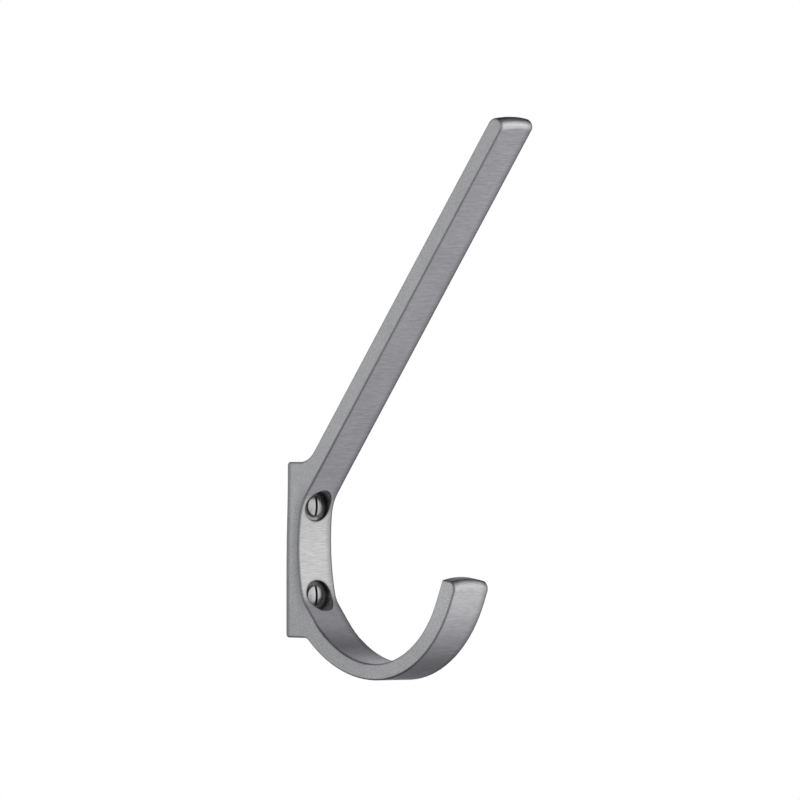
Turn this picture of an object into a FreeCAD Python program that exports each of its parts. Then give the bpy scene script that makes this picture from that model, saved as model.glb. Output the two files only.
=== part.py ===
import FreeCAD, Part
import math
import os
import Sketcher

# Wall hook for a hat and a coat. Lengths are in millimetres, angles in degrees.
# The back face lies in the XZ plane and the wall is on the +Y side of it.
# The hook reaches out along -Y, its width runs along X and +Z is up.
# The origin is the centre of the back face.

SIZES = [
    ("width", 12.0, "width of the cradle, the lip and the pad's lower part"),
    ("arm_width", 11.0, "width of the arm"),
    ("flare_height", 32.0, "height over which the pad widens, down from its top"),
    ("edge_round", 0.5, "rounding of the long edges of both side faces"),
    ("pad_height", 49.1, "height of the back face"),
    ("pad_thickness", 5.66, "least thickness of the pad, at the front level"),
    ("pad_corner", 1.0, "rounding of the pad's two back corners"),
    ("pad_front_radius", 52.6, "hollow of the pad's front face"),
    ("pad_front_level", 1.3, "height at which the pad is thinnest"),
    ("arm_bend_radius", 11.3, "front bend from the pad into the arm"),
    ("arm_heel_radius", 9.0, "hollow between the pad's top and the arm"),
    ("arm_front_angle", 41.0, "lean of the arm's front face from upright"),
    ("arm_root_level", 11.67, "height at which the arm's front face would leave the pad's"),
    ("arm_reach", 97.3, "reach of the sharp front corner of the arm's end"),
    ("arm_thickness", 5.55, "thickness of the arm"),
    ("arm_front_round", 1.65, "rounding of the arm's front end corner"),
    ("arm_back_round", 3.6, "rounding of the arm's back end corner"),
    ("arm_crown_radius", 24.0, "crown of the arm's end, side to side"),
    ("cradle_bend_radius", 7.0, "front bend from the pad into the cradle"),
    ("cradle_entry_angle", 46.9, "fall of the straight between bend and cradle"),
    ("cradle_reach", 40.0, "reach of the cradle's lowest line"),
    ("cradle_depth", 31.17, "drop of the cradle's lowest inner line"),
    ("cradle_wall_radius", 36.8, "inner radius on the wall side"),
    ("cradle_room_radius", 30.7, "inner radius on the room side"),
    ("cradle_thickness", 4.6, "thickness under the lowest line"),
    ("belly_wall_radius", 47.7, "outer radius on the wall side"),
    ("belly_heel_radius", 3.0, "hollow between the pad's foot and the belly"),
    ("lip_angle", 65.0, "rise of the straight lip from level"),
    ("lip_thickness", 6.2, "thickness of the lip"),
    ("lip_level", 6.65, "drop of the lip's sharp inner corner"),
    ("lip_end_fall", 8.0, "fall of the lip's end towards its outer corner"),
    ("lip_front_round", 0.8, "rounding of the lip's inner end corner"),
    ("lip_back_round", 2.2, "rounding of the lip's outer end corner"),
    ("lip_crown_radius", 20.0, "crown of the lip's end, side to side"),
    ("end_flat", 0.2, "least flat left between the two roundings of an end"),
    ("end_spare", 2.5, "length of bar left over beyond each end and then cut off"),
    ("screw_spacing", 25.0, "distance between the two screw axes"),
    ("screw_mid_drop", 0.3, "drop of the middle between the screws"),
    ("sink_diameter", 8.5, "diameter of the flat-bottomed sink round a head"),
    ("sink_floor", 5.3, "distance of the sink's floor from the back face"),
    ("sink_reach", 8.0, "length cut in front of the floor"),
    ("sink_break", 0.2, "rounding of the sink's rim"),
    ("bore_diameter", 3.4, "diameter of the hole for the screw's shank"),
    ("head_diameter", 5.4, "diameter of the screw's head"),
    ("head_side", 0.55, "height of the head's straight side"),
    ("head_crown", 0.6, "rise of the head's crown above its side"),
    ("slot_width", 0.65, "width of the driving slot"),
    ("slot_depth", 0.65, "depth of the slot below the crown's top"),
    ("shank_diameter", 3.0, "diameter of the shank"),
    ("shank_gap", 0.3, "gap between the shank's end and the back face"),
]

doc = FreeCAD.newDocument("hat_hook")
sheet = doc.addObject("Spreadsheet::Sheet", "sizes")
for row, (alias, value, meaning) in enumerate(SIZES, start=1):
    sheet.set("A%d" % row, meaning)
    sheet.set("B%d" % row, str(value))
    sheet.setAlias("B%d" % row, alias)
doc.recompute()


def size(alias):
    """The value of one size, in millimetres or degrees."""
    return float(getattr(sheet, alias))


def unit_at(degrees):
    """A unit vector in the sketch plane at an angle from the sketch's x axis."""
    angle = math.radians(degrees)
    return FreeCAD.Vector(math.cos(angle), math.sin(angle), 0)


def origin_plane(body, role):
    """The origin plane of a body that has the given role."""
    return next(item for item in body.Origin.OriginFeatures if item.Role == role)


def new_body(label):
    """A body with its name and label."""
    body = doc.addObject("PartDesign::Body", label)
    body.Label = label
    return body


def new_sketch(body, label, role):
    """A sketch that lies on an origin plane of its body."""
    sketch = body.newObject("Sketcher::SketchObject", label)
    sketch.AttachmentSupport = [(origin_plane(body, role), "")]
    sketch.MapMode = "FlatFace"
    return sketch


def bind(sketch, kind, where, expression, value):
    """A dimension of the sketch, bound to a size."""
    index = sketch.addConstraint(Sketcher.Constraint(kind, *where, value))
    sketch.setExpression("Constraints[%d]" % index, expression)


def origin_axis(body, role):
    """The origin axis of a body that has the given role."""
    return next(item for item in body.Origin.OriginFeatures if item.Role == role)


def constrain(sketch, kind, *where):
    """A constraint of the sketch that has no size."""
    sketch.addConstraint(Sketcher.Constraint(kind, *where))


def place(sketch, kind, geometry, point, expression):
    """Bind the distance of a point from the sketch's origin, on its own side of it."""
    spot = sketch.getPoint(geometry, point)
    value = spot.x if kind == "DistanceX" else spot.y
    ends = (-1, 1, geometry, point) if value >= 0 else (geometry, point, -1, 1)
    bind(sketch, kind, ends, expression, abs(value))


def add_circles(sketch, alias):
    """A circle on each screw's axis, in a sketch that lies across the axes."""
    for sign, expression in (
        (1, "sizes.screw_spacing / 2 - sizes.screw_mid_drop"),
        (-1, "sizes.screw_spacing / 2 + sizes.screw_mid_drop"),
    ):
        level = sign * size("screw_spacing") / 2 - size("screw_mid_drop")
        centre = FreeCAD.Vector(0, level, 0)
        circle = Part.Circle(centre, FreeCAD.Vector(0, 0, 1), size(alias) / 2)
        geometry = sketch.addGeometry(circle, False)
        bind(sketch, "Diameter", (geometry,), "sizes." + alias, size(alias))
        constrain(sketch, "PointOnObject", geometry, 3, -2)
        place(sketch, "DistanceY", geometry, 3, expression)


def is_rim(edge, levels, radius, floor):
    """Whether an edge runs round the mouth of a sink."""
    points = edge.discretize(7)
    return any(
        all(
            abs(math.hypot(point.x, point.z - level) - radius) < 0.001
            and point.y < -floor - 0.05
            for point in points
        )
        for level in levels
    )


class Outline:
    """A closed run of lines and arcs in a sketch, drawn end to end."""

    def __init__(self, sketch):
        self.sketch = sketch
        self.pieces = []

    def line(self, start, finish):
        """A line of the run."""
        shape = Part.LineSegment(start, finish)
        self.pieces.append((self.sketch.addGeometry(shape, False), 1, 2))
        return self.pieces[-1]

    def arc(self, centre, radius, start, finish):
        """An arc of the run from one angle to another, in degrees, bound later."""
        circle = Part.Circle(centre, FreeCAD.Vector(0, 0, 1), radius)
        low, high = math.radians(min(start, finish)), math.radians(max(start, finish))
        geometry = self.sketch.addGeometry(Part.ArcOfCircle(circle, low, high), False)
        ends = (1, 2) if finish > start else (2, 1)
        self.pieces.append((geometry,) + ends)
        return self.pieces[-1]

    def mark(self, line, place):
        """A point on a line of the run."""
        point = self.sketch.addGeometry(Part.Point(place), True)
        constrain(self.sketch, "PointOnObject", point, 1, line[0])
        return point

    def join(self, corners):
        """Join every piece to the next one, without a kink unless it is in corners."""
        for piece, following in zip(self.pieces, self.pieces[1:] + self.pieces[:1]):
            kind = "Coincident" if piece in corners else "Tangent"
            constrain(self.sketch, kind, piece[0], piece[2], following[0], following[1])


def add_cap(end, side, base, turn, end_angle):
    """Round off one end of the bar, in profile and from side to side.

    The sketch's y axis runs along the bar's front face towards the end, and its origin is
    the sharp front corner. The bar is on the given side of that axis: 1 right, -1 left.
    Base, turn and end_angle are pairs of an expression and its value.
    """
    thickness = size(end + "_thickness")
    front = size(end + "_front_round")
    rear = min(size(end + "_back_round"), thickness - front - size("end_flat"))
    crown = size(end + "_crown_radius")
    spare = 2 * size("end_spare")
    tilt = end_angle[1] if side > 0 else 180 - end_angle[1]
    along = unit_at(end_angle[1])
    front_run = front * math.tan(math.radians(90 - tilt) / 2)
    rear_run = rear * math.tan(math.radians(90 + tilt) / 2)
    far = along * (thickness / (side * along.x))
    rear_level = far.y - rear_run

    sketch = new_sketch(hook, end + "_cap_outline", "YZ_Plane")
    spot = FreeCAD.Vector(base[0][1], base[1][1], 0)
    sketch.AttachmentOffset = FreeCAD.Placement(
        spot, FreeCAD.Rotation(FreeCAD.Vector(0, 0, 1), turn[1])
    )
    sketch.setExpression("AttachmentOffset.Base.x", base[0][0])
    sketch.setExpression("AttachmentOffset.Base.y", base[1][0])
    sketch.setExpression("AttachmentOffset.Rotation.Angle", turn[0])

    run = Outline(sketch)
    flat = 90 * (1 - side)
    front_arc = run.arc(
        FreeCAD.Vector(side * front, -front_run, 0), front, 180 - flat, 90 + side * tilt
    )
    end_line = run.line(along * front_run, far - along * rear_run)
    rear_arc = run.arc(
        FreeCAD.Vector(side * (thickness - rear), rear_level, 0), rear, 90 + side * tilt, flat
    )
    corners = [
        FreeCAD.Vector(side * across, level, 0)
        for across, level in (
            (thickness, rear_level),
            (thickness + spare, rear_level),
            (thickness + spare, spare),
            (-spare, spare),
            (-spare, -front_run),
            (0, -front_run),
        )
    ]
    border = [run.line(start, finish) for start, finish in zip(corners, corners[1:])]
    run.join([rear_arc] + border)
    for line, kind in zip(border, ("Horizontal", "Vertical", "Horizontal", "Vertical", "Horizontal")):
        constrain(sketch, kind, line[0])
    front_size = "sizes." + end + "_front_round"
    rear_room = "sizes." + end + "_thickness - " + front_size + " - sizes.end_flat"
    rear_size = "min(sizes." + end + "_back_round; " + rear_room + ")"
    for arc, point, expression, radius in (
        (front_arc, front_arc[1], front_size, front),
        (rear_arc, rear_arc[2], rear_size, rear),
    ):
        constrain(sketch, "Horizontal", arc[0], 3, arc[0], point)
        bind(sketch, "Radius", (arc[0],), expression, radius)
    bind(sketch, "Angle", (end_line[0],), end_angle[0], math.radians(end_angle[1]))
    constrain(sketch, "PointOnObject", front_arc[0], front_arc[1], -2)
    constrain(sketch, "PointOnObject", -1, 1, end_line[0])
    wide = "sizes." + end + "_thickness"
    place(sketch, "DistanceX", rear_arc[0], rear_arc[2], wide)
    place(sketch, "DistanceX", border[1][0], 1, wide + " + 2 * sizes.end_spare")
    place(sketch, "DistanceX", border[3][0], 1, "2 * sizes.end_spare")
    place(sketch, "DistanceY", border[2][0], 1, "2 * sizes.end_spare")
    pivot = Part.LineSegment(
        FreeCAD.Vector(0, -crown, 0), FreeCAD.Vector(side * thickness, -crown, 0)
    )
    axis = sketch.addGeometry(pivot, True)
    constrain(sketch, "Horizontal", axis)
    constrain(sketch, "PointOnObject", axis, 1, -2)
    place(sketch, "DistanceX", axis, 2, wide)
    place(sketch, "DistanceY", axis, 1, "sizes." + end + "_crown_radius")
    cap = hook.newObject("PartDesign::Groove", end + "_cap")
    cap.Profile = sketch
    cap.ReferenceAxis = (sketch, ["Axis0"])
    cap.Midplane = True
    cap.Angle = 120
    doc.recompute()
    return cap


def is_long(shape, edge, least):
    """Whether an edge parts one of the side faces from a face that isn't one."""
    sides = [
        face
        for face in shape.ancestorsOfType(edge, Part.Face)
        if min(vertex.X for vertex in face.Vertexes) > least
        or max(vertex.X for vertex in face.Vertexes) < -least
    ]
    return len(sides) == 1


def centre_between(point, direction, side, radius, hollow_centre, hollow_radius):
    """Centre of an arc that touches a line and the inside of a larger arc."""
    base = point + side * radius - hollow_centre
    along = base.dot(direction)
    spread = math.sqrt(along ** 2 - base.dot(base) + (hollow_radius - radius) ** 2)
    options = [hollow_centre + base + direction * (sign * spread - along) for sign in (-1, 1)]
    return max(options, key=lambda option: option.x)


def bearing(centre, point):
    """Angle of a point seen from a centre, from 180 to 540 degrees."""
    angle = math.degrees(math.atan2(point.y - centre.y, point.x - centre.x))
    return angle if angle >= 180 else angle + 360


# The hook's profile: a closed outline in the YZ plane, the sketch's x axis along +Y.
# It runs down the front of the arm, round the cradle, back along the belly and up.
hook = new_body("hook_body")
profile = new_sketch(hook, "hook_profile", "YZ_Plane")
outline = Outline(profile)
up = FreeCAD.Vector(0, 1, 0)
back = FreeCAD.Vector(1, 0, 0)

front_lean = size("arm_front_angle")
arm_down = unit_at(front_lean - 90)
arm_side = unit_at(front_lean + 180)
arm_root = FreeCAD.Vector(-size("pad_thickness"), size("arm_root_level"), 0)
arm_run = (size("arm_reach") - size("pad_thickness")) / arm_down.x
end_front = arm_root - arm_down * arm_run
end_back = end_front - arm_side * size("arm_thickness")
spare = size("end_spare")

pad_radius = size("pad_front_radius")
pad_centre = FreeCAD.Vector(-size("pad_thickness") - pad_radius, size("pad_front_level"), 0)
bend_radius = size("arm_bend_radius")
bend_centre = centre_between(end_front, arm_down, arm_side, bend_radius, pad_centre, pad_radius)
bend_angle = bearing(pad_centre, bend_centre)

low = FreeCAD.Vector(-size("cradle_reach"), -size("cradle_depth"), 0)
wall_radius = size("cradle_wall_radius")
room_radius = size("cradle_room_radius")
wall_centre = low + up * wall_radius
room_centre = low + up * room_radius
entry = size("cradle_entry_angle")
entry_down = unit_at(180 + entry)
entry_side = unit_at(90 + entry)
entry_end = wall_centre - entry_side * wall_radius
turn_radius = size("cradle_bend_radius")
turn_centre = centre_between(
    entry_end, entry_down, entry_side, turn_radius, pad_centre, pad_radius
)
turn_angle = bearing(pad_centre, turn_centre)

lip = size("lip_angle")
lip_up = unit_at(180 - lip)
lip_side = unit_at(270 - lip)
lip_foot = room_centre + lip_side * room_radius
lip_rise = (-size("lip_level") - lip_foot.y) / lip_up.y
lip_inner = lip_foot + lip_up * lip_rise
belly = low - up * size("cradle_thickness")
belly_wall = size("belly_wall_radius")
lip_level_share = math.cos(math.radians(lip))
lip_spare = size("lip_thickness") - size("cradle_thickness") * lip_level_share
belly_room = room_radius + lip_spare / (1 - lip_level_share)
belly_wall_centre = belly + up * belly_wall
belly_room_centre = belly + up * belly_room
lip_outer_foot = belly_room_centre + lip_side * belly_room
lip_outer = lip_inner + lip_side * size("lip_thickness")

half = size("pad_height") / 2
foot_radius = size("belly_heel_radius")
foot_drop = belly_wall_centre.y + half + foot_radius
foot_run = math.sqrt((belly_wall + foot_radius) ** 2 - foot_drop ** 2)
foot_centre = belly_wall_centre + back * foot_run - up * foot_drop
foot_angle = bearing(belly_wall_centre, foot_centre)
corner_radius = size("pad_corner")
low_corner = FreeCAD.Vector(-corner_radius, corner_radius - half, 0)
high_corner = FreeCAD.Vector(-corner_radius, half - corner_radius, 0)
heel_radius = size("arm_heel_radius")
heel_level = half + heel_radius
heel_offset = end_back.dot(arm_side) - heel_radius - heel_level * arm_side.y
heel_centre = FreeCAD.Vector(heel_offset / arm_side.x, heel_level, 0)

# The front face, from the arm's end down to the lip. Both ends are left long and square.
arm_front = outline.line(end_front - arm_down * spare, bend_centre - arm_side * bend_radius)
arm_bend = outline.arc(bend_centre, bend_radius, 360 + front_lean, bend_angle)
pad_front = outline.arc(pad_centre, pad_radius, bend_angle, turn_angle)
turn = outline.arc(turn_centre, turn_radius, turn_angle, 270 + entry)
cradle_entry = outline.line(turn_centre - entry_side * turn_radius, entry_end)
cradle_wall = outline.arc(wall_centre, wall_radius, 270 + entry, 270)
cradle_room = outline.arc(room_centre, room_radius, 270, 270 - lip)
lip_front = outline.line(lip_foot, lip_inner + lip_up * spare)
lip_end = outline.line(lip_inner + lip_up * spare, lip_outer + lip_up * spare)

# The belly, the pad's foot, the back face and the pad's top.
lip_back = outline.line(lip_outer + lip_up * spare, lip_outer_foot)
belly_room_arc = outline.arc(belly_room_centre, belly_room, 270 - lip, 270)
belly_wall_arc = outline.arc(belly_wall_centre, belly_wall, 270, foot_angle)
foot_arc = outline.arc(foot_centre, foot_radius, foot_angle - 180, 90)
foot = outline.line(foot_centre + up * foot_radius, low_corner - up * corner_radius)
low_arc = outline.arc(low_corner, corner_radius, 270, 360)
back_line = outline.line(low_corner + back * corner_radius, high_corner + back * corner_radius)
high_arc = outline.arc(high_corner, corner_radius, 0, 90)
pad_top = outline.line(high_corner + up * corner_radius, heel_centre - up * heel_radius)
heel_arc = outline.arc(heel_centre, heel_radius, 270, 180 + front_lean)

# The arm's back face and its end.
arm_back = outline.line(heel_centre + arm_side * heel_radius, end_back - arm_down * spare)
arm_end = outline.line(end_back - arm_down * spare, end_front - arm_down * spare)
outline.join([lip_front, lip_end, arm_back, arm_end])

# Radii.
for piece, alias in (
    (arm_bend, "arm_bend_radius"),
    (pad_front, "pad_front_radius"),
    (turn, "cradle_bend_radius"),
    (cradle_wall, "cradle_wall_radius"),
    (cradle_room, "cradle_room_radius"),
    (belly_wall_arc, "belly_wall_radius"),
    (foot_arc, "belly_heel_radius"),
    (low_arc, "pad_corner"),
    (high_arc, "pad_corner"),
    (heel_arc, "arm_heel_radius"),
):
    bind(profile, "Radius", (piece[0],), "sizes." + alias, size(alias))

# Directions.
bind(profile, "Angle", (arm_front[0],), "sizes.arm_front_angle - 90",
     math.radians(front_lean - 90))
bind(profile, "Angle", (cradle_entry[0],), "sizes.cradle_entry_angle - 180",
     math.radians(entry - 180))
bind(profile, "Angle", (lip_front[0],), "180 - sizes.lip_angle", math.radians(180 - lip))
for square, beside, face in ((arm_end, arm_back, arm_front), (lip_end, lip_back, lip_front)):
    constrain(profile, "Perpendicular", square[0], face[0])
    constrain(profile, "Parallel", beside[0], face[0])
constrain(profile, "Horizontal", foot[0])
constrain(profile, "Horizontal", pad_top[0])
constrain(profile, "Vertical", back_line[0])

# Places, measured from the origin.
place(profile, "DistanceX", pad_front[0], 3, "sizes.pad_thickness + sizes.pad_front_radius")
place(profile, "DistanceY", pad_front[0], 3, "sizes.pad_front_level")
end_corner = outline.mark(arm_front, end_front)
place(profile, "DistanceX", end_corner, 1, "sizes.arm_reach")
root = outline.mark(arm_front, arm_root)
place(profile, "DistanceX", root, 1, "sizes.pad_thickness")
place(profile, "DistanceY", root, 1, "sizes.arm_root_level")
bind(profile, "Distance", (end_corner, 1, arm_back[0]), "sizes.arm_thickness",
     size("arm_thickness"))
bind(profile, "Distance", (end_corner, 1, arm_end[0]), "sizes.end_spare", spare)
constrain(profile, "Vertical", cradle_wall[0], 3, cradle_wall[0], cradle_wall[2])
place(profile, "DistanceX", cradle_wall[0], cradle_wall[2], "sizes.cradle_reach")
place(profile, "DistanceY", cradle_wall[0], cradle_wall[2], "sizes.cradle_depth")
lip_corner = outline.mark(lip_front, lip_inner)
place(profile, "DistanceY", lip_corner, 1, "sizes.lip_level")
bind(profile, "Distance", (lip_corner, 1, lip_back[0]), "sizes.lip_thickness",
     size("lip_thickness"))
bind(profile, "Distance", (lip_corner, 1, lip_end[0]), "sizes.end_spare", spare)
constrain(profile, "Vertical", belly_room_arc[0], 3, belly_room_arc[0], belly_room_arc[2])
place(profile, "DistanceX", belly_room_arc[0], belly_room_arc[2], "sizes.cradle_reach")
place(profile, "DistanceY", belly_room_arc[0], belly_room_arc[2],
      "sizes.cradle_depth + sizes.cradle_thickness")
place(profile, "DistanceY", foot[0], foot[2], "sizes.pad_height / 2")
place(profile, "DistanceY", pad_top[0], pad_top[1], "sizes.pad_height / 2")
constrain(profile, "PointOnObject", back_line[0], 1, -2)
doc.recompute()

blank = hook.newObject("PartDesign::Pad", "hook_blank")
blank.Profile = profile
blank.SideType = "Symmetric"
blank.setExpression("Length", "sizes.width")
doc.recompute()

# Both sides are slimmed to the arm's width, in a soft double bend along the pad.
arm_level = (
    "sizes.arm_root_level"
    " + (sizes.arm_reach - sizes.pad_thickness) / tan(sizes.arm_front_angle)"
)
slim = new_sketch(hook, "slim_outline", "XZ_Plane")
wide = size("width") / 2
narrow = size("arm_width") / 2
flare = size("flare_height")
flare_radius = (flare ** 2 + (wide - narrow) ** 2) / (4 * (wide - narrow))
flare_turn = math.degrees(math.asin(flare / 2 / flare_radius))
slim_top = end_front.y + size("arm_thickness")
for side in (1, -1):
    run = Outline(slim)
    spots = [
        FreeCAD.Vector(side * across, level, 0)
        for across, level in (
            (narrow, half),
            (narrow, slim_top),
            (2 * wide, slim_top),
            (2 * wide, half - flare),
            (wide, half - flare),
        )
    ]
    border = [run.line(start, finish) for start, finish in zip(spots, spots[1:])]
    flat = 90 * (1 - side)
    wide_arc = run.arc(
        FreeCAD.Vector(side * (wide - flare_radius), half - flare, 0), flare_radius,
        flat, flat + side * flare_turn,
    )
    narrow_arc = run.arc(
        FreeCAD.Vector(side * (narrow + flare_radius), half, 0), flare_radius,
        180 - flat + side * flare_turn, 180 - flat,
    )
    run.join(border)
    for line, kind in zip(border, ("Vertical", "Horizontal", "Vertical", "Horizontal")):
        constrain(slim, kind, line[0])
    constrain(slim, "Horizontal", wide_arc[0], 3, wide_arc[0], wide_arc[1])
    constrain(slim, "Equal", wide_arc[0], narrow_arc[0])
    place(slim, "DistanceX", border[0][0], 1, "sizes.arm_width / 2")
    place(slim, "DistanceY", border[0][0], 1, "sizes.pad_height / 2")
    place(slim, "DistanceX", wide_arc[0], wide_arc[1], "sizes.width / 2")
    place(slim, "DistanceY", wide_arc[0], wide_arc[1], "sizes.flare_height - sizes.pad_height / 2")
    place(slim, "DistanceX", border[2][0], 1, "sizes.width")
    place(slim, "DistanceY", border[1][0], 1, arm_level + " + sizes.arm_thickness")
slim_cut = hook.newObject("PartDesign::Pocket", "slim_cut")
slim_cut.Profile = slim
slim_cut.Reversed = True
slim_cut.Type = "ThroughAll"
doc.recompute()

# Both ends are cut to their roundings and to a crown from side to side.
add_cap(
    "arm", 1,
    (("-sizes.arm_reach", end_front.x), (arm_level, end_front.y)),
    ("sizes.arm_front_angle", front_lean), ("0", 0.0),
)
lip_reach = (
    "-sizes.cradle_reach - sizes.cradle_room_radius * sin(sizes.lip_angle)"
    " - (sizes.cradle_depth - sizes.lip_level"
    " - sizes.cradle_room_radius * (1 - cos(sizes.lip_angle))) / tan(sizes.lip_angle)"
)
add_cap(
    "lip", -1,
    ((lip_reach, lip_inner.x), ("-sizes.lip_level", lip_inner.y)),
    ("90 - sizes.lip_angle", 90 - lip),
    ("90 + sizes.lip_angle + sizes.lip_end_fall", 90 + lip + size("lip_end_fall")),
)

# Two flat-bottomed sinks for the screw heads, each with a hole through to the back.
bores = new_sketch(hook, "screw_bores", "XZ_Plane")
add_circles(bores, "bore_diameter")
bore_cut = hook.newObject("PartDesign::Pocket", "bore_cut")
bore_cut.Profile = bores
bore_cut.Reversed = True
bore_cut.setExpression("Length", "sizes.sink_floor + sizes.sink_reach / 2")
sinks = new_sketch(hook, "head_sinks", "XZ_Plane")
sinks.setExpression("AttachmentOffset.Base.z", "sizes.sink_floor")
add_circles(sinks, "sink_diameter")
sink_cut = hook.newObject("PartDesign::Pocket", "sink_cut")
sink_cut.Profile = sinks
sink_cut.Reversed = True
sink_cut.setExpression("Length", "sizes.sink_reach")
doc.recompute()

# The long edges of both side faces are rounded, and the rims of the sinks are broken.
long_edges = [
    "Edge%d" % number
    for number, edge in enumerate(sink_cut.Shape.Edges, start=1)
    if is_long(sink_cut.Shape, edge, narrow - 0.001)
]
side_rounds = hook.newObject("PartDesign::Fillet", "side_rounds")
side_rounds.Base = (sink_cut, long_edges)
side_rounds.setExpression("Radius", "sizes.edge_round")
doc.recompute()
sink_radius = size("sink_diameter") / 2
levels = [sign * size("screw_spacing") / 2 - size("screw_mid_drop") for sign in (1, -1)]
rims = [
    "Edge%d" % number
    for number, edge in enumerate(side_rounds.Shape.Edges, start=1)
    if is_rim(edge, levels, sink_radius, size("sink_floor"))
]
rim_breaks = hook.newObject("PartDesign::Fillet", "rim_breaks")
rim_breaks.Base = (side_rounds, rims)
rim_breaks.setExpression("Radius", "sizes.sink_break")
hook.Tip = rim_breaks
doc.recompute()

# Two equal slotted screws, one body of separate solids. The body's own origin is on the
# upper screw's axis, in the plane of the hook's back face.
screws = new_body("fixing_screws")
screws.setExpression("Placement.Base.z", "sizes.screw_spacing / 2 - sizes.screw_mid_drop")
turned = new_sketch(screws, "screw_profile", "YZ_Plane")
shank_radius = size("shank_diameter") / 2
head_radius = size("head_diameter") / 2
floor = size("sink_floor")
shoulder = floor + size("head_side")
crown = size("head_crown")
crown_radius = (head_radius ** 2 + crown ** 2) / (2 * crown)
tip = FreeCAD.Vector(-size("shank_gap"), 0, 0)
tip_edge = FreeCAD.Vector(-size("shank_gap"), shank_radius, 0)
seat = FreeCAD.Vector(-floor, shank_radius, 0)
seat_edge = FreeCAD.Vector(-floor, head_radius, 0)
head_edge = FreeCAD.Vector(-shoulder, head_radius, 0)
top = FreeCAD.Vector(-shoulder - crown, 0, 0)
corners = [top, tip, tip_edge, seat, seat_edge, head_edge]
for start, finish in zip(corners, corners[1:]):
    turned.addGeometry(Part.LineSegment(start, finish), False)
crown_centre = FreeCAD.Vector(crown_radius - shoulder - crown, 0, 0)
crown_circle = Part.Circle(crown_centre, FreeCAD.Vector(0, 0, 1), crown_radius)
crown_start = math.pi - math.asin(head_radius / crown_radius)
turned.addGeometry(Part.ArcOfCircle(crown_circle, crown_start, math.pi), False)
for line in range(4):
    constrain(turned, "Coincident", line, 2, line + 1, 1)
constrain(turned, "Coincident", 4, 2, 5, 1)
constrain(turned, "Coincident", 5, 2, 0, 1)
for line, kind in enumerate(("Horizontal", "Vertical", "Horizontal", "Vertical", "Horizontal")):
    constrain(turned, kind, line)
constrain(turned, "PointOnObject", 0, 1, -1)
constrain(turned, "PointOnObject", 5, 3, -1)
place(turned, "DistanceX", 0, 2, "sizes.shank_gap")
place(turned, "DistanceX", 3, 1, "sizes.sink_floor")
place(turned, "DistanceX", 4, 2, "sizes.sink_floor + sizes.head_side")
place(turned, "DistanceX", 0, 1, "sizes.sink_floor + sizes.head_side + sizes.head_crown")
place(turned, "DistanceY", 1, 2, "sizes.shank_diameter / 2")
place(turned, "DistanceY", 4, 2, "sizes.head_diameter / 2")
solid = screws.newObject("PartDesign::Revolution", "screw_turned")
solid.Profile = turned
solid.ReferenceAxis = (turned, ["H_Axis"])
solid.Angle = 360

slot = new_sketch(screws, "slot_outline", "XZ_Plane")
slot.setExpression(
    "AttachmentOffset.Base.z",
    "sizes.sink_floor + sizes.head_side + sizes.head_crown",
)
half_slot = size("slot_width") / 2
slot_reach = size("head_diameter")
slot_corners = [
    FreeCAD.Vector(side * half_slot, end * slot_reach, 0)
    for side, end in ((-1, -1), (1, -1), (1, 1), (-1, 1))
]
for start, finish in zip(slot_corners, slot_corners[1:] + slot_corners[:1]):
    slot.addGeometry(Part.LineSegment(start, finish), False)
for line in range(4):
    constrain(slot, "Coincident", line, 2, (line + 1) % 4, 1)
for line, kind in enumerate(("Horizontal", "Vertical", "Horizontal", "Vertical")):
    constrain(slot, kind, line)
constrain(slot, "Symmetric", 0, 1, 2, 1, -1, 1)
bind(slot, "DistanceX", (0, 1, 0, 2), "sizes.slot_width", 2 * half_slot)
bind(slot, "DistanceY", (1, 1, 1, 2), "2 * sizes.head_diameter", 2 * slot_reach)
slot_cut = screws.newObject("PartDesign::Pocket", "slot_cut")
slot_cut.Profile = slot
slot_cut.setExpression("Length", "sizes.slot_depth")
doc.recompute()
pair = screws.newObject("PartDesign::LinearPattern", "screw_pair")
pair.Originals = [solid, slot_cut]
pair.Direction = (origin_axis(screws, "Z_Axis"), [""])
pair.Reversed = True
pair.Occurrences = 2
pair.setExpression("Length", "sizes.screw_spacing")
screws.Tip = pair
doc.recompute()

for item in doc.Objects:
    faults = [state for state in item.State if state in ("Invalid", "Error")]
    if faults:
        raise RuntimeError("%s is %s" % (item.Label, faults))
os.makedirs("parts", exist_ok=True)
for body, count in ((hook, 1), (screws, 2)):
    shape = body.Shape
    if shape.isNull() or not shape.isValid() or len(shape.Solids) != count:
        raise RuntimeError("%s has a bad shape" % body.Label)
    shape.exportStep("parts/%s.step" % body.Label)
    print(body.Label, len(shape.Faces), "faces", round(shape.Volume, 1), "mm3")
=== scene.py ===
import math

import bpy
from bpy.props import FloatProperty, FloatVectorProperty, PointerProperty
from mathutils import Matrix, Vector

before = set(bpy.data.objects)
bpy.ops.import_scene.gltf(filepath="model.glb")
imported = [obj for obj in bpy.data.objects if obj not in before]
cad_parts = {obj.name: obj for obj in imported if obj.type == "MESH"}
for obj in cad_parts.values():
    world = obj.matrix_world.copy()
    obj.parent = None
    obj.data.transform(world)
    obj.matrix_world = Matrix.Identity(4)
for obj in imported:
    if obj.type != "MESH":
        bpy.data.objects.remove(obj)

bl_info = {
    "name": "Hat hook",
    "version": (1, 0, 0),
    "blender": (4, 5, 0),
    "location": "View3D > Sidebar > Hat hook",
    "description": "Satin finishes and a small studio for a wall hook with two screws",
    "category": "Object",
}

MM = 0.001

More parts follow.
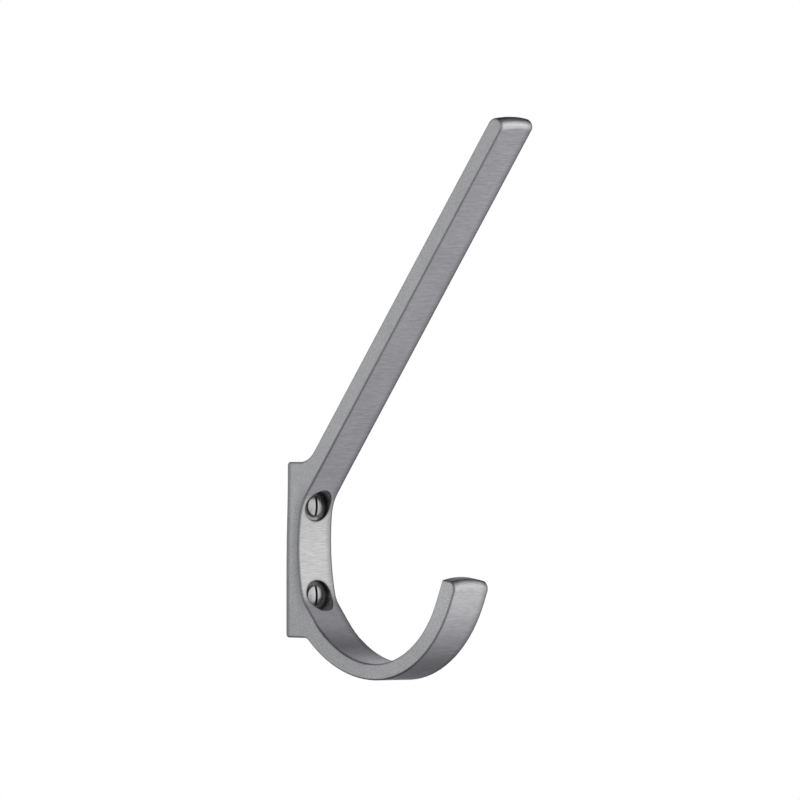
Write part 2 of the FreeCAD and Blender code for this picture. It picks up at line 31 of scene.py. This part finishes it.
# Places that the finishes need, in millimetres: they repeat the sizes of the part.
ARM_HALF_WIDTH = 5.5
FOOT_HALF_WIDTH = 6.0
FLARE_TOP = 24.55
FLARE_FOOT = -7.45
PAD_THICKNESS = 5.66
PAD_FRONT_RADIUS = 52.6
PAD_FRONT_LEVEL = 1.3
SCREW_HALF_SPACING = 12.5
SCREW_MID_LEVEL = -0.3
SINK_RADIUS = 4.25
SINK_FLOOR = 5.3
SINK_REACH = 5.5
HEAD_RADIUS = 2.7
SLOT_HALF_WIDTH = 0.325

# Grain, in cycles a millimetre along x, y and z, and regular waves, in radians a millimetre.
LINE_CYCLES = (0.16, 1.9, 1.9)
HAIR_CYCLES = (0.4, 4.5, 4.5)
CLOUD_CYCLES = (0.12, 0.12, 0.12)
STREAK_CYCLES = (0.15, 4.0, 0.15)
SMUDGE_CYCLES = (1.5, 1.5, 0.3)
MOTTLE_CYCLES = (0.02, 0.02, 0.02)
PLAIN_DETAIL = 2.0
RICH_DETAIL = 3.0
GRAIN_ROUGHNESS = 0.6
RIDGE_RATE = 13.0
RING_RATE = 36.0

# How much of the grain goes into the colours, the roughness and the relief of the metal.
FRONT_STROKES, FRONT_CLOUDS, FRONT_HAIRS = 0.95, 0.6, 2.6
SIDE_LINES, SIDE_HAIRS, SIDE_CLOUDS = 0.7, 1.15, 0.2
ROUGH_LINES, ROUGH_CLOUDS, ROUGH_SINK = 0.2, 0.08, 0.15
RELIEF_HAIRS, RELIEF_RIDGES = 0.4, 0.7
SINK_STREAKS = 0.9
HEAD_SMUDGES, ROUGH_RINGS, ROUGH_SMUDGES, ROUGH_SLOT = 0.4, 0.02, 0.08, 0.3
RING_RELIEF = 0.002 * MM

# Where each mark on the hook begins and where it is full, in millimetres. A level is a height and
# a front is a distance from the wall. A facing is one part of the surface's normal, without unit.
OFF_SIDE_FACING = (0.999, 0.97)
RIM_FACING = (0.1, 0.4)
LOW_RIM_LEVEL = (60.0, 15.0)
VERGE_RADIUS = 1.2
VERGE_SAMPLES = 8
VERGE_LEAN = (1.0, 0.94)
RUBBED_LEVEL = (14.0, 8.0)
LIP_FRONT = (45.0, 55.0)
LIP_FOOT_LEVEL = (-28.0, -14.0)
LIP_TOP_LEVEL = (20.0, 5.0)
LOW_SIDE_LEVEL = (4.0, -30.0)
LOW_SIDE_FRONT = (28.0, 45.0)
FAR_MARGIN_INSET = (2.8, 0.2)
FAR_MARGIN_EDGE_INSET = (1.0, 0.3)
PAD_SIDE_LEVEL = (22.0, 10.0)
PAD_SIDE_FRONT = (14.0, 12.0)
PAD_SIDE_DEPTH = (4.2, 0.2)
BACK_EDGE_LEVEL = (27.0, 25.0)
BACK_EDGE_FRONT = (2.3, 0.9)
SINK_EDGE = (SINK_RADIUS + 0.05, SINK_RADIUS - 0.02)
SINK_BOTTOM_FRONT = (SINK_FLOOR - 0.3, SINK_FLOOR - 0.1)
SINK_TOP_FRONT = (SINK_FLOOR + SINK_REACH, SINK_FLOOR + SINK_REACH - 0.5)
RECESS_FRONT = (SINK_FLOOR + 2.6, SINK_FLOOR + 0.4)
CRESCENT_INNER_EDGE = (3.1, 3.4)
CRESCENT_OUTER_EDGE = (4.1, 3.9)
CRESCENT_TOP = (2.2, 2.8)
CRESCENT_FOOT = (5.0, 4.5)
CRESCENT_FAR_END = (1.4, 0.6)
CRESCENT_FRONT = (SINK_FLOOR + 0.3, SINK_FLOOR + 0.1)
MOUTH_EDGE = (SINK_RADIUS + 0.24, SINK_RADIUS + 0.16)
MOUTH_SHADOW_X = (-2.5, 0.5)
MOUTH_SHADOW_OUTWARD = (0.0, 2.0)
LIP_END_FACING = (0.55, 0.85)
LIP_END_LEVEL = (-14.0, -10.0)
LIP_END_FRONT = (42.0, 46.0)
LIP_END_TOP_FACING = (0.88, 0.97)
LIP_END_FAR_X = (0.5, 4.5)
TIP_FACING = (0.7, 0.95)
TIP_LEVEL = (112.0, 114.0)
GLINT_FACING = (0.7, 0.4)
GLINT_LEVEL = (115.6, 116.6)

# The same for the screws.
SLOT_SHADE_X = (SLOT_HALF_WIDTH + 0.1, SLOT_HALF_WIDTH + 0.02)
SLOT_SHADE_FRONT = (SINK_FLOOR - 0.3, SINK_FLOOR)
HEAD_SIDE_EDGE = (HEAD_RADIUS - 0.3, HEAD_RADIUS - 0.02)
HEAD_FAR_X = (0.2, 2.4)
UPPER_HEAD_LEVEL = (-5.0, 5.0)

# What share of the grain, the metal or the brightness each mark takes away, or adds. What a mark
# takes from the brightness is painted shade, and what it adds is painted light.
RUBBED_PAD_LOSS = 0.6
RUBBED_LIP_LOSS = 0.4
RIM_SHADE, LOW_RIM_SHADE = 0.42, 0.1
EDGE_SHADE = 0.3
LOW_SIDE_SHADE, LOW_SIDE_SHADE_RETURN = 0.13, 0.08
LIP_SIDE_LIGHT = 0.16
FAR_MARGIN_SHADE, FAR_MARGIN_EDGE_SHARE = 0.38, 0.6
PAD_SIDE_SHADE, BACK_EDGE_SHADE = 0.28, 0.4
SINK_SHADE, RECESS_SHADE = 0.2, 0.55
SINK_METAL_LOSS = 0.5
MOUTH_SHADOW_LOSS = 0.85
LIP_END_SHADE, LIP_END_TOP_SHADE, LIP_END_FAR_SHADE = 0.45, 0.2, 0.25
TIP_SHADE, GLINT_GAIN = 0.65, 0.13
HEAD_SIDE_SHADE, HEAD_FAR_SHADE, UPPER_HEAD_SHADE = 0.6, 0.35, 0.13

# The camera stands level, on the side of the arm's front face. Its places are in metres, its
# lens and sensor in millimetres.
CAMERA_TURN = math.radians(38)
CAMERA_DISTANCE = 3.0
CAMERA_ASIDE = 0.02724
CAMERA_LEVEL = 0.04186
CAMERA_LENS = 482.1
CAMERA_SENSOR = 36.0
STUDIO_MIDDLE = Vector((0, -0.045, 0.04))

# What the hook's faces reflect. Each band is a strip of a tube round the X axis, between two
# angles in degrees from -Y, positive upwards, with its glow. The world beyond them is white.
BANDS = (
    (-80, -60, 0.65),
    (-104, -80, 0.38),
    (-135, -104, 0.13),
    (-160, -135, 0.18),
    (160, 200, 0.64),
    (140, 160, 0.57),
    (104, 140, 0.12),
    (66, 104, 0.42),
    (40, 66, 0.70),
)
BAND_RADIUS = 1.0
BAND_REACH = 1.8
BAND_STEPS = 6
BAND_CAST = (1.0, 0.985, 1.06)

# Square sheets that the side faces reflect: direction, distance and size.
SHEETS = {
    "sheet_behind_left": ((-0.616, 0.788, 0.0), 0.9, 1.3),
    "sheet_left": ((-1.0, 0.0, 0.0), 2.2, 2.4),
    "sheet_right": ((1.0, 0.0, 0.0), 2.2, 2.4),
}
SHEET_GLOW = (0.65, 0.656, 0.677)

LAMP_SIZE = 1.1
LAMP_DIRECTION = (0.72, -0.9, 0.25)
LAMP_DISTANCE = 1.6
FLOOR_SIDES = 96
FLOOR_ROUGHNESS = 0.9
FLOOR_SHADE = 0.99

# Sockets of the Mix node for colours, which share their names with others of that node.
MIX_FIRST, MIX_SECOND, MIX_RESULT = 6, 7, 2


class Varying:
    """A number that varies over a surface. Arithmetic on it adds Math nodes."""

    def __init__(self, nodes, socket):
        self.nodes = nodes
        self.socket = socket

    def math(self, operation, *values):
        """The result of one Math node on these values."""
        inputs = dict(enumerate(values))
        return self.nodes.node("ShaderNodeMath", {"operation": operation}, inputs)

    def __add__(self, other):
        return self.math("ADD", self, other)

    def __radd__(self, other):
        return self.math("ADD", other, self)

    def __sub__(self, other):
        return self.math("SUBTRACT", self, other)

    def __rsub__(self, other):
        return self.math("SUBTRACT", other, self)

    def __mul__(self, other):
        return self.math("MULTIPLY", self, other)

    def __abs__(self):
        return self.math("ABSOLUTE", self)

    def hypot(self, other):
        """Length of the right triangle's long side over these two."""
        return self.math("SQRT", self * self + other * other)

    def larger(self, other):
        """The larger of these two."""
        return self.math("MAXIMUM", self, other)

    def sine(self):
        """The sine of this, in radians."""
        return self.math("SINE", self)

    def step(self, low, high):
        """0 below low and 1 above high, smooth between them. Low may be the larger."""
        inputs = {"Value": self, "From Min": low, "From Max": high}
        settings = {"interpolation_type": "SMOOTHSTEP", "clamp": True}
        return self.nodes.node("ShaderNodeMapRange", settings, inputs)


class Nodes:
    """The nodes of a material or a world."""

    def __init__(self, tree):
        self.tree = tree

    def put(self, socket, value):
        """Give an input a value, or link it to a varying one."""
        if isinstance(value, Varying):
            self.tree.links.new(value.socket, socket)
        else:
            socket.default_value = value

    def node(self, kind, settings=None, inputs=None, output=0):
        """Add a node with its settings, then its inputs, and give one of its outputs."""
        node = self.tree.nodes.new(kind)
        for name, value in (settings or {}).items():
            setattr(node, name, value)
        for name, value in (inputs or {}).items():
            self.put(node.inputs[name], value)
        return Varying(self, node.outputs[output])

    def vector_math(self, operation, inputs, output=0):
        """One output of a Vector Math node."""
        return self.node("ShaderNodeVectorMath", {"operation": operation}, inputs, output)

    def axes(self, vector):
        """The x, y and z of a vector."""
        split = self.node("ShaderNodeSeparateXYZ", inputs={0: vector}).socket.node
        return [Varying(self, output) for output in split.outputs]


class Finish(Nodes):
    """A material with a Principled shader, and the nodes that feed it."""

    def __init__(self, name, **constants):
        self.material = bpy.data.materials.new(name)
        self.material.use_nodes = True
        super().__init__(self.material.node_tree)
        self.shader = self.tree.nodes["Principled BSDF"]
        self.feed(**constants)

    def feed(self, **values):
        """Give the Principled shader's inputs constant or varying values."""
        for name, value in values.items():
            self.put(self.shader.inputs[name.replace("_", " ").title()], value)


class Surface(Finish):
    """A finish that varies with the place, in millimetres in the object's own frame."""

    def __init__(self, name, **constants):
        super().__init__(name, **constants)
        metres = self.node("ShaderNodeTexCoord", output="Object")
        self.place = self.vector_math("SCALE", {0: metres, "Scale": 1 / MM})

    def noise(self, cycles, detail=PLAIN_DETAIL):
        """Noise about zero, from -0.5 to 0.5, with so many cycles a millimetre along x, y, z."""
        inputs = {
            "Vector": self.vector_math("MULTIPLY", {0: self.place, 1: cycles}),
            "Scale": 1.0,
            "Detail": detail,
            "Roughness": GRAIN_ROUGHNESS,
        }
        return self.node("ShaderNodeTexNoise", inputs=inputs) - 0.5

    def paint(self, colour):
        """A colour with its fourth part, or a varying colour as it is."""
        return colour if isinstance(colour, Varying) else (*colour, 1)

    def mix(self, factor, first, second, blend="MIX"):
        """The Mix node's result on two colours."""
        settings = {"data_type": "RGBA", "blend_type": blend}
        inputs = {"Factor": factor, MIX_FIRST: self.paint(first), MIX_SECOND: self.paint(second)}
        return self.node("ShaderNodeMix", settings, inputs, MIX_RESULT)

    def tint(self, colour, shade):
        """A colour with its brightness multiplied."""
        grey = self.node("ShaderNodeCombineXYZ", inputs={0: shade, 1: shade, 2: shade})
        return self.mix(1.0, colour, grey, "MULTIPLY")

    def bump(self, height, distance):
        """A normal that follows a height from 0 to 1, with its full height in metres."""
        return self.node("ShaderNodeBump", inputs={"Height": height, "Distance": distance})


class PartSurface(Surface):
    """The finish of a node of the part, with its places in the part's own frame."""

    def __init__(self, name):
        super().__init__(name, metallic=1.0)
        self.x, y, self.z = self.axes(self.place)
        self.front = 0 - y
        self.outward = abs(self.z - SCREW_MID_LEVEL) - SCREW_HALF_SPACING
        self.from_screw = self.x.hypot(self.outward)

    def wear(self, node_name):
        """Put this finish on a node of the part."""
        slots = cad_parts[node_name].material_slots
        if not slots:
            raise RuntimeError("no material slot on " + node_name)
        for slot in slots:
            slot.material = self.material


class HookSurface(PartSurface):
    """The hook's metal, with a mask for each mark on it: 0 beside the mark and 1 on it. Most
    marks are painted shade or painted highlights.
    """

    def __init__(self, name):
        super().__init__(name)
        self.normal = self.node("ShaderNodeNewGeometry", output="Normal")
        facing_x, _, self.facing_up = self.axes(self.normal)
        self.facing_aside = abs(facing_x)
        self.off_side = self.facing_aside.step(*OFF_SIDE_FACING)

    def rim(self):
        """Painted shade on the rounded long edges."""
        return self.facing_aside.step(*RIM_FACING) * self.off_side

    def edge_shade(self):
        """Painted shade along all edges, sharp and rounded."""
        settings = {"samples": VERGE_SAMPLES}
        rounded = self.node("ShaderNodeBevel", settings, {"Radius": VERGE_RADIUS * MM})
        along = self.vector_math("DOT_PRODUCT", {0: rounded, 1: self.normal}, "Value")
        return along.step(*VERGE_LEAN)

    def lip(self):
        """The lip, in front and at its sides."""
        low = self.front.step(*LIP_FRONT) * self.z.step(*LIP_FOOT_LEVEL)
        return low * self.z.step(*LIP_TOP_LEVEL)

    def lip_end_shade(self):
        """Painted shade on the lip's end face, darkest on top and at its far end."""
        end = self.facing_up.step(*LIP_END_FACING) * self.z.step(*LIP_END_LEVEL)
        end *= self.front.step(*LIP_END_FRONT)
        top = self.facing_up.step(*LIP_END_TOP_FACING) * LIP_END_TOP_SHADE
        return end * (LIP_END_SHADE + top + self.x.step(*LIP_END_FAR_X) * LIP_END_FAR_SHADE)

    def tip_shade(self):
        """Painted shade on the top of the arm's end."""
        return self.facing_up.step(*TIP_FACING) * self.z.step(*TIP_LEVEL)

    def glint(self):
        """A painted highlight on the front rounding of the arm's end."""
        return self.z.step(*GLINT_LEVEL) * self.facing_up.step(*GLINT_FACING) * self.off_side

    def far_margin_shade(self):
        """Painted shade on the far margin of the front."""
        flare = self.z.step(FLARE_TOP, FLARE_FOOT) * (FOOT_HALF_WIDTH - ARM_HALF_WIDTH)
        inset = flare + ARM_HALF_WIDTH - self.x
        edge = inset.step(*FAR_MARGIN_EDGE_INSET) * FAR_MARGIN_EDGE_SHARE
        return (inset.step(*FAR_MARGIN_INSET) + edge) * self.off_side

    def pad_side_shade(self):
        """Painted shade on the pad's sides, next to its hollow front and along its back edge."""
        level = self.z - PAD_FRONT_LEVEL
        depth = level * level * (0.5 / PAD_FRONT_RADIUS) + PAD_THICKNESS - self.front
        height = abs(self.z)
        beside = height.step(*PAD_SIDE_LEVEL) * self.front.step(*PAD_SIDE_FRONT)
        beside *= depth.step(*PAD_SIDE_DEPTH) * PAD_SIDE_SHADE
        back = height.step(*BACK_EDGE_LEVEL) * self.front.step(*BACK_EDGE_FRONT) * BACK_EDGE_SHADE
        return (beside + back) * (1 - self.off_side)

    def along_sinks(self, mask):
        """A mask kept to the depth of the screws' sinks."""
        return mask * self.front.step(*SINK_BOTTOM_FRONT) * self.front.step(*SINK_TOP_FRONT)

    def sink(self):
        """The wall and the floor of both sinks."""
        return self.along_sinks(self.from_screw.step(*SINK_EDGE))

    def recess_shade(self, sink):
        """Painted shade at the foot of the sinks, but for a painted highlight, a bright crescent
        at the upper one's lower left.
        """
        below = SCREW_HALF_SPACING + SCREW_MID_LEVEL - self.z
        ring = self.from_screw.step(*CRESCENT_INNER_EDGE)
        ring *= self.from_screw.step(*CRESCENT_OUTER_EDGE)
        part = below.step(*CRESCENT_TOP) * below.step(*CRESCENT_FOOT)
        crescent_highlight = ring * (part * self.x.step(*CRESCENT_FAR_END))
        dark = 1 - crescent_highlight * self.front.step(*CRESCENT_FRONT)
        return sink * self.front.step(*RECESS_FRONT) * dark

    def mouth_shadow(self, sink):
        """Painted shadow on the broken edge round each sink, on the far side and away from the
        other sink.
        """
        mouth = self.along_sinks(self.from_screw.step(*MOUTH_EDGE) * (1 - sink) * self.off_side)
        return mouth * self.x.step(*MOUTH_SHADOW_X) * self.outward.step(*MOUTH_SHADOW_OUTWARD)


def colour_property(name, description, default):
    """A setting for a colour."""
    return FloatVectorProperty(
        name=name, description=description, subtype="COLOR", size=3, min=0, max=1,
        default=default,
    )


class HookFinish(bpy.types.PropertyGroup):
    """Colours and grain of the hook's own metal."""

    light: colour_property(
        "Light metal", "Colour of the metal where it is brightest", (0.60, 0.60, 0.605)
    )
    dark: colour_property(
        "Dark metal", "Colour of the metal at the bottom of its grain", (0.46, 0.46, 0.465)
    )
    side: colour_property("Side metal", "Mean colour of the side faces", (0.53, 0.53, 0.53))
    roughness: FloatProperty(
        name="Roughness", description="Mean roughness of the satin surface",
        subtype="FACTOR", min=0, max=1, default=0.36,
    )
    grain_depth: FloatProperty(
        name="Grain depth", description="Depth of the brushed grain",
        subtype="DISTANCE", unit="LENGTH", min=0, max=0.0001, default=0.00004,
        precision=6,
    )


class ScrewFinish(bpy.types.PropertyGroup):
    """Colours of the two screws."""

    bright: colour_property("Bright metal", "Colour of the turned heads", (0.55, 0.55, 0.548))
    # The slot colour is painted shade for the dark inside the driving slots.
    slot: colour_property("Slot", "Colour in the driving slots", (0.05, 0.05, 0.052))
    roughness: FloatProperty(
        name="Roughness", description="Roughness of the turned heads",
        subtype="FACTOR", min=0, max=1, default=0.34,
    )


class StudioSettings(bpy.types.PropertyGroup):
    """Floor and light of the studio."""

    floor_level: FloatProperty(
        name="Floor level", description="Level of the floor in the part's own frame",
        subtype="DISTANCE", unit="LENGTH", default=-0.125,
    )
    floor_radius: FloatProperty(
        name="Floor radius", description="Radius of the round floor",
        subtype="DISTANCE", unit="LENGTH", min=0.2, default=0.9,
    )
    floor_colour: colour_property("Floor", "Colour of the floor", (0.96, 0.96, 0.96))
    lamp_power: FloatProperty(
        name="Lamp power", description="Power of the large soft lamp",
        subtype="POWER", unit="POWER", min=0, default=0.6,
    )
    fill: FloatProperty(
        name="Fill", description="Strength of the even light that falls on the floor",
        min=0, max=2, default=1.0,
    )


class HATHOOK_OT_finish_hook(bpy.types.Operator):
    """Give the hook its satin brushed finish"""

    bl_idname = "hathook.finish_hook"
    bl_label = "Finish the hook"

    def execute(self, context):
        look = context.scene.hathook_hook
        finish = HookSurface("satin_aluminium")

        # Grain lies across the bar, so it shows as lines in front and as dots at the sides. The
        # fronts of the pad and the lip are rubbed smoother.
        lines = finish.noise(LINE_CYCLES)
        hairs = finish.noise(HAIR_CYCLES)
        clouds = finish.noise(CLOUD_CYCLES)
        lip = finish.lip()
        strokes = lines * (1 - abs(finish.z).step(*RUBBED_LEVEL) * RUBBED_PAD_LOSS)
        strokes *= 1 - lip * RUBBED_LIP_LOSS

        # Painted shade darkens the sides low down near the wall, and painted light brightens them
        # at the lip.
        shade = 0.5 + strokes * FRONT_STROKES + clouds * FRONT_CLOUDS + hairs * FRONT_HAIRS
        front_metal = finish.mix(shade, look.dark, look.light)
        speckle = 1 + lines * SIDE_LINES + hairs * SIDE_HAIRS + clouds * SIDE_CLOUDS
        # Painted shade low on the sides, less of it further forward, and painted light on the
        # lip's sides.
        less_shade_forward = finish.front.step(*LOW_SIDE_FRONT) * LOW_SIDE_SHADE_RETURN
        speckle *= 1 - finish.z.step(*LOW_SIDE_LEVEL) * (LOW_SIDE_SHADE - less_shade_forward)
        speckle *= 1 + lip * LIP_SIDE_LIGHT
        metal = finish.mix(finish.off_side, finish.tint(look.side, speckle), front_metal)

        # The sinks are left as cut, with turned ridges and streaks on the wall. Their wall and
        # floor get painted shade, darkest at the foot, but for a painted highlight crescent in
        # the upper sink.
        sink = finish.sink()
        recess_shade = finish.recess_shade(sink)
        ridges = (finish.front * RIDGE_RATE).sine() * sink
        streaks = finish.noise(STREAK_CYCLES, RICH_DETAIL) * sink

        # Painted shade on the rims, the edges, the far margin, the pad's sides, the sinks and
        # their mouths, the lip's end and the arm's tip, and a painted highlight on the arm end's
        # front rounding.
        rim_shade_share = RIM_SHADE + finish.z.step(*LOW_RIM_LEVEL) * LOW_RIM_SHADE
        painted_shading = (1 - finish.rim() * rim_shade_share) * (1 - finish.edge_shade() * EDGE_SHADE)
        painted_shading *= (1 - finish.far_margin_shade() * FAR_MARGIN_SHADE) * (1 - finish.pad_side_shade())
        sink_shade_and_streaks = 1 - sink * SINK_SHADE - recess_shade * RECESS_SHADE + streaks * SINK_STREAKS
        painted_shading *= sink_shade_and_streaks * (1 - finish.lip_end_shade())
        shadow = finish.mouth_shadow(sink) * MOUTH_SHADOW_LOSS
        tip_shade = finish.tip_shade() * TIP_SHADE
        painted_shading *= (1 - shadow) * (1 - tip_shade) * (1 + finish.glint() * GLINT_GAIN)

        grain = lines * ROUGH_LINES
        relief = strokes + hairs * RELIEF_HAIRS + ridges * RELIEF_RIDGES + 0.5
        finish.feed(
            base_color=finish.tint(metal, painted_shading),
            metallic=1 - sink * (1 - recess_shade) * SINK_METAL_LOSS,
            roughness=look.roughness + grain + clouds * ROUGH_CLOUDS + sink * ROUGH_SINK,
            normal=finish.bump(relief, look.grain_depth),
        )
        finish.wear("hook_body")
        return {"FINISHED"}


class HATHOOK_OT_finish_screws(bpy.types.Operator):
    """Give both screws their bright turned finish"""

    bl_idname = "hathook.finish_screws"
    bl_label = "Finish the screws"

    def execute(self, context):
        look = context.scene.hathook_screws
        finish = PartSurface("turned_steel")
        rings = (finish.from_screw * RING_RATE).sine()
        smudges = finish.noise(SMUDGE_CYCLES, RICH_DETAIL)
        # Painted shade in the driving slots, which are also rougher there.
        slot_shade = abs(finish.x).step(*SLOT_SHADE_X) * finish.front.step(*SLOT_SHADE_FRONT)

        # Painted shade: each head is darker round its side and on its far half, and the upper one
        # altogether.
        side = finish.from_screw.step(*HEAD_SIDE_EDGE) * HEAD_SIDE_SHADE
        far_half_shade = finish.x.step(*HEAD_FAR_X) * HEAD_FAR_SHADE
        shade = (1 + smudges * HEAD_SMUDGES) * (1 - side) * (1 - far_half_shade)
        shade *= 1 - finish.z.step(*UPPER_HEAD_LEVEL) * UPPER_HEAD_SHADE
        satin = rings * ROUGH_RINGS
        metal = finish.mix(slot_shade, look.bright, look.slot)
        finish.feed(
            base_color=finish.tint(metal, shade),
            roughness=look.roughness + satin + smudges * ROUGH_SMUDGES + slot_shade * ROUGH_SLOT,
            normal=finish.bump(rings * 0.5 + 0.5, RING_RELIEF),
        )
        finish.wear("fixing_screws")
        return {"FINISHED"}


def square(name, size):
    """A flat sheet round its own origin, facing along +Z."""
    corners = [(-1, -1), (1, -1), (1, 1), (-1, 1)]
    mesh = bpy.data.meshes.new(name)
    points = [(side * size / 2, end * size / 2, 0) for side, end in corners]
    mesh.from_pydata(points, [], [(0, 1, 2, 3)])
    return mesh


def add_object(name, data):
    """A new object in the scene."""
    thing = bpy.data.objects.new(name, data)
    bpy.context.scene.collection.objects.link(thing)
    return thing


def aim(thing, direction, distance):
    """Put an object at a distance from the studio's middle, facing it."""
    away = Vector(direction).normalized()
    thing.location = STUDIO_MIDDLE + away * distance
    thing.rotation_euler = away.to_track_quat("Z", "Y").to_euler()


def add_panel(name, mesh, colour):
    """A glowing panel that only reflections see."""
    panel = add_object(name, mesh)
    finish = Finish(
        name, base_color=(0, 0, 0, 1), emission_color=(*colour, 1), emission_strength=1
    )
    finish.shader.inputs["Specular IOR Level"].default_value = 0
    finish.material.cycles.emission_sampling = "NONE"
    mesh.materials.append(finish.material)
    panel.visible_camera = False
    panel.visible_diffuse = False
    panel.visible_shadow = False
    return panel


def add_band(start, end, glow):
    """A strip of a tube round the X axis, for the faces across the bar to reflect."""
    points = []
    for step in range(BAND_STEPS + 1):
        angle = math.radians(start + (end - start) * step / BAND_STEPS)
        level, depth = BAND_RADIUS * math.sin(angle), -BAND_RADIUS * math.cos(angle)
        points += [(side * BAND_REACH, depth, level) for side in (-1, 1)]
    faces = [(row, row + 1, row + 3, row + 2) for row in range(0, 2 * BAND_STEPS, 2)]
    name = "band_%d" % start
    mesh = bpy.data.meshes.new(name)
    mesh.from_pydata(points, [], faces)
    band = add_panel(name, mesh, [glow * part for part in BAND_CAST])
    band.location = STUDIO_MIDDLE


def add_floor(settings):
    """A plain round floor below the hook."""
    radius = settings.floor_radius
    turns = [2 * math.pi / FLOOR_SIDES * step for step in range(FLOOR_SIDES)]
    rim = [(radius * math.cos(turn), radius * math.sin(turn), 0) for turn in turns]
    mesh = bpy.data.meshes.new("floor")
    mesh.from_pydata(rim, [], [tuple(range(FLOOR_SIDES))])
    floor = add_object("floor", mesh)
    floor.location = (0, STUDIO_MIDDLE.y, settings.floor_level)
    floor.visible_glossy = False
    finish = Surface("floor_paint", roughness=FLOOR_ROUGHNESS)
    pale = settings.floor_colour
    dark = [part * FLOOR_SHADE for part in pale]
    finish.feed(base_color=finish.mix(finish.noise(MOTTLE_CYCLES) + 0.5, dark, pale))
    mesh.materials.append(finish.material)


def add_world(settings):
    """White where the camera and reflections see it, and an even fill for the rest."""
    world = bpy.data.worlds.new("studio")
    bpy.context.scene.world = world
    world.use_nodes = True
    world.cycles.sampling_method = "NONE"
    background = world.node_tree.nodes["Background"]
    background.inputs["Color"].default_value = (1, 1, 1, 1)
    nodes = Nodes(world.node_tree)
    camera, glossy, transmission = (
        nodes.node("ShaderNodeLightPath", output=kind)
        for kind in ("Is Camera Ray", "Is Glossy Ray", "Is Transmission Ray")
    )
    seen = camera.larger(glossy).larger(transmission)
    nodes.put(background.inputs["Strength"], seen * (1 - settings.fill) + settings.fill)


def add_lamp(settings):
    """One large soft lamp beside the camera."""
    light = bpy.data.lights.new("soft_lamp", "AREA")
    light.shape = "SQUARE"
    light.size = LAMP_SIZE
    light.energy = settings.lamp_power
    lamp = add_object("soft_lamp", light)
    aim(lamp, LAMP_DIRECTION, LAMP_DISTANCE)
    lamp.visible_camera = False


def add_camera():
    """The camera, level and turned to where the photograph was taken from."""
    camera = bpy.data.cameras.new("camera")
    camera.sensor_width = CAMERA_SENSOR
    camera.lens = CAMERA_LENS
    stand = add_object("camera", camera)
    toward = Vector((-math.sin(CAMERA_TURN), -math.cos(CAMERA_TURN), 0))
    aside = Vector((math.cos(CAMERA_TURN), -math.sin(CAMERA_TURN), 0))
    stand.location = toward * CAMERA_DISTANCE + aside * CAMERA_ASIDE
    stand.location.z = CAMERA_LEVEL
    stand.rotation_euler = (math.pi / 2, 0, -CAMERA_TURN)
    bpy.context.scene.camera = stand


class HATHOOK_OT_studio(bpy.types.Operator):
    """Set up the floor, the light and the camera"""

    bl_idname = "hathook.studio"
    bl_label = "Set up the studio"

    def execute(self, context):
        settings = context.scene.hathook_studio
        add_world(settings)
        add_floor(settings)
        for band in BANDS:
            add_band(*band)
        for name, (direction, distance, size) in SHEETS.items():
            aim(add_panel(name, square(name, size), SHEET_GLOW), direction, distance)
        add_lamp(settings)
        add_camera()
        context.scene.view_settings.view_transform = "Standard"
        return {"FINISHED"}


OPERATORS = (HATHOOK_OT_finish_hook, HATHOOK_OT_finish_screws, HATHOOK_OT_studio)


class HATHOOK_PT_panel(bpy.types.Panel):
    """Steps of the hook's scene, in the 3D view's sidebar."""

    bl_idname = "HATHOOK_PT_panel"
    bl_label = "Hat hook"
    bl_space_type = "VIEW_3D"
    bl_region_type = "UI"
    bl_category = "Hat hook"

    def draw(self, context):
        for group in (
            context.scene.hathook_hook,
            context.scene.hathook_screws,
            context.scene.hathook_studio,
        ):
            box = self.layout.box()
            for name in group.__annotations__:
                box.prop(group, name)
        for operator in OPERATORS:
            self.layout.operator(operator.bl_idname)


CLASSES = (HookFinish, ScrewFinish, StudioSettings, *OPERATORS, HATHOOK_PT_panel)


def register():
    """Register the classes and hang the settings on the scene."""
    for item in CLASSES:
        bpy.utils.register_class(item)
    bpy.types.Scene.hathook_hook = PointerProperty(type=HookFinish)
    bpy.types.Scene.hathook_screws = PointerProperty(type=ScrewFinish)
    bpy.types.Scene.hathook_studio = PointerProperty(type=StudioSettings)


def unregister():
    """Take the settings off the scene and unregister the classes."""
    del bpy.types.Scene.hathook_studio
    del bpy.types.Scene.hathook_screws
    del bpy.types.Scene.hathook_hook
    for item in reversed(CLASSES):
        bpy.utils.unregister_class(item)


def main():
    """Make the whole scene."""
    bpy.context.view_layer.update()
    register()
    bpy.ops.hathook.finish_hook()
    bpy.ops.hathook.finish_screws()
    bpy.ops.hathook.studio()


if __name__ == "__main__":
    main()
